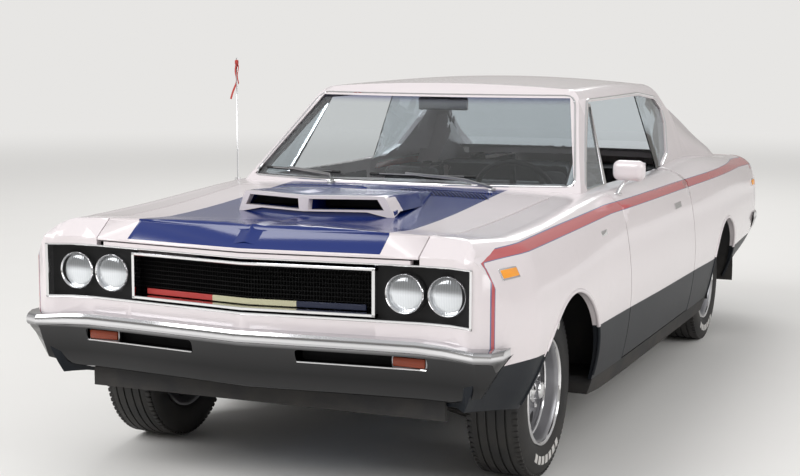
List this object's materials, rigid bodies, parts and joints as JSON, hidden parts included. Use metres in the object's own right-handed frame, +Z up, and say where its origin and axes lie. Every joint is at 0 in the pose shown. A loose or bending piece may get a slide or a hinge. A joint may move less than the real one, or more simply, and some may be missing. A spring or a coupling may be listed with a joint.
{
  "type": "two-door hardtop muscle car",
  "caption": "Two-door hardtop car with hinged doors, hood and trunk lid, steered front wheels, rolling wheels, open side windows and a hood scoop.",
  "frame": {"origin": "on the ground, below the middle of the car's length and width", "axes": "+Z up, -Y towards the nose, +X towards the car's own left side"},
  "size_m": [1.9514, 5.055, 1.53],
  "materials": {
    "white_paint": "gloss enamel",
    "blue_paint": "gloss enamel",
    "glass": "clear, lightly tinted",
    "chrome": "bright plate",
    "black_trim": "satin black",
    "amber_lens": "moulded lens",
    "red_lens": "moulded lens",
    "underbody": "dull undercoat",
    "engine_metal": "engine enamel",
    "exhaust_metal": "dull steel",
    "seat_vinyl": "grained vinyl",
    "tyre": "black rubber",
    "rim_metal": "bright wheel with painted centre"
  },
  "bodies": {
    "root": {"front_fenders": "white_paint", "cowl": "white_paint", "wipers": "chrome", "antenna": "chrome", "roof": "white_paint", "windshield": "glass", "rear_glass": "glass", "quarter_glass": "glass", "quarter_panels": "white_paint", "nose_panel": "white_paint", "lamp_panel": "black_trim", "grille": "black_trim", "grille_trim": "chrome", "headlamp_rims": "chrome", "headlamp_lenses": "glass", "front_bumper": "chrome", "rear_bumper": "chrome", "marker_lamps": "amber_lens", "tail_panel": "white_paint", "tail_lamps": "red_lens", "rear_deck": "white_paint", "floor_pan": "underbody", "firewall": "underbody", "engine_bay": "underbody", "engine": "engine_metal", "trunk_tub": "underbody", "exhaust": "exhaust_metal", "fuel_tank": "underbody", "front_suspension": "underbody", "rear_axle": "underbody", "dashboard": "black_trim", "front_seats": "seat_vinyl", "rear_seat": "seat_vinyl", "door_hinges": "underbody"},
    "door_left": {"door_left": "white_paint", "door_chrome_left": "chrome", "vent_glass_left": "glass", "door_mirror": "white_paint"},
    "door_right": {"door_right": "white_paint", "door_chrome_right": "chrome", "vent_glass_right": "glass"},
    "hood": {"hood": "blue_paint", "hood_scoop": "blue_paint", "hood_hinges": "underbody"},
    "trunk_lid": {"trunk_lid": "white_paint", "trunk_hinges": "underbody"},
    "knuckle_left": {"knuckle_left": "underbody"},
    "knuckle_right": {"knuckle_right": "underbody"},
    "steering_wheel": {"steering_wheel": "black_trim"},
    "wheel_front_left": {"tyre_front_left": "tyre", "rim_front_left": "rim_metal"},
    "wheel_front_right": {"tyre_front_right": "tyre", "rim_front_right": "rim_metal"},
    "wheel_rear_left": {"tyre_rear_left": "tyre", "rim_rear_left": "rim_metal"},
    "wheel_rear_right": {"tyre_rear_right": "tyre", "rim_rear_right": "rim_metal"}
  },
  "joints": [
    {"name": "door_left_swing", "type": "hinge", "parent": "root", "child": "door_left", "pos_m": [0.978, -0.8, 0.645], "axis": [0, 0, -1], "range_deg": [0, 65]},
    {"name": "door_right_swing", "type": "hinge", "parent": "root", "child": "door_right", "pos_m": [-0.978, -0.8, 0.645], "axis": [0, 0, 1], "range_deg": [0, 65]},
    {"name": "hood_lift", "type": "hinge", "parent": "root", "child": "hood", "pos_m": [0, -1.11, 1.012], "axis": [-1, 0, 0], "range_deg": [0, 50]},
    {"name": "trunk_lift", "type": "hinge", "parent": "root", "child": "trunk_lid", "pos_m": [0, 1.596, 1.004], "axis": [1, 0, 0], "range_deg": [0, 70]},
    {"name": "steer_left", "type": "hinge", "parent": "root", "child": "knuckle_left", "pos_m": [0.7, -1.612, 0.322], "axis": [0, 0, 1], "range_deg": [-28, 28]},
    {"name": "steer_right", "type": "hinge", "parent": "root", "child": "knuckle_right", "pos_m": [-0.7, -1.612, 0.322], "axis": [0, 0, 1], "range_deg": [-28, 28]},
    {"name": "steering_turn", "type": "hinge", "parent": "root", "child": "steering_wheel", "pos_m": [0.37, -0.55748, 0.88991], "axis": [0, 0.9272, 0.3746], "range_deg": [-340, 340]},
    {"name": "roll_front_left", "type": "hinge", "parent": "knuckle_left", "child": "wheel_front_left", "pos_m": [0.758, -1.612, 0.322], "axis": [1, 0, 0], "continuous": true},
    {"name": "roll_front_right", "type": "hinge", "parent": "knuckle_right", "child": "wheel_front_right", "pos_m": [-0.758, -1.612, 0.322], "axis": [1, 0, 0], "continuous": true},
    {"name": "roll_rear_left", "type": "hinge", "parent": "root", "child": "wheel_rear_left", "pos_m": [0.762, 1.284, 0.322], "axis": [1, 0, 0], "continuous": true},
    {"name": "roll_rear_right", "type": "hinge", "parent": "root", "child": "wheel_rear_right", "pos_m": [-0.762, 1.284, 0.322], "axis": [1, 0, 0], "continuous": true}
  ],
  "couplings": [
    {"joint": "steer_right", "follows": "steer_left", "ratio": 1},
    {"joint": "steering_turn", "follows": "steer_left", "ratio": 12}
  ]
}
